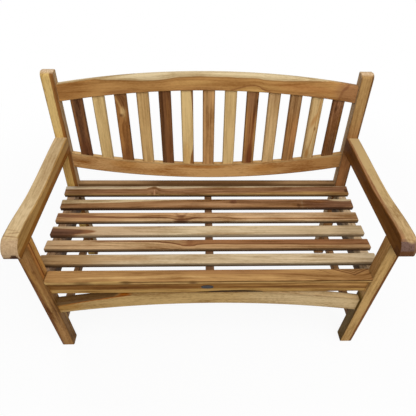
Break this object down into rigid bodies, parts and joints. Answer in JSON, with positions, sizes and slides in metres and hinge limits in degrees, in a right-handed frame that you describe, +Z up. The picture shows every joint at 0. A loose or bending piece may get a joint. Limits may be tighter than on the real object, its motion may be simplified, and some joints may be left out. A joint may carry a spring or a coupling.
{
  "type": "garden bench",
  "caption": "Teak garden bench with an arched slatted back, scooped arms and a dished slatted seat on square legs.",
  "frame": {"origin": "centre of the bench's plan at the floor, level with the feet", "axes": "+X along the seat towards its right end as seen from the front, +Y from the seat's front to its back, +Z up"},
  "size_m": [1.2, 0.637, 0.909],
  "materials": {
    "teak_honey": "planed teak, satin",
    "teak_tan": "planed teak, satin",
    "teak_sand": "planed teak, satin",
    "teak_russet": "planed teak, satin",
    "teak_brown": "planed teak, satin",
    "teak_dark": "planed teak, satin"
  },
  "bodies": {
    "root": {"rear_leg_left": "teak_honey", "rear_leg_right": "teak_honey", "front_leg_left": "teak_tan", "front_leg_right": "teak_tan", "arm_left": "teak_sand", "arm_right": "teak_sand", "crest_rail": "teak_russet", "lower_back_rail": "teak_tan", "back_slat_01": "teak_dark", "back_slat_02": "teak_sand", "back_slat_03": "teak_brown", "back_slat_04": "teak_sand", "back_slat_05": "teak_dark", "back_slat_06": "teak_tan", "back_slat_07": "teak_brown", "back_slat_08": "teak_sand", "back_slat_09": "teak_brown", "back_slat_10": "teak_sand", "back_slat_11": "teak_brown", "back_slat_12": "teak_tan", "back_slat_13": "teak_dark", "rear_seat_rail": "teak_tan", "seat_slat_1": "teak_brown", "seat_slat_2": "teak_brown", "seat_slat_3": "teak_tan", "seat_slat_4": "teak_sand", "seat_slat_5": "teak_russet", "seat_slat_6": "teak_sand", "front_seat_slat": "teak_russet", "front_seat_rail": "teak_brown", "front_apron": "teak_honey", "side_rail_left": "teak_brown", "side_rail_right": "teak_brown", "centre_bearer": "teak_brown", "side_stretcher_left": "teak_tan", "side_stretcher_right": "teak_tan"}
  },
  "joints": []
}
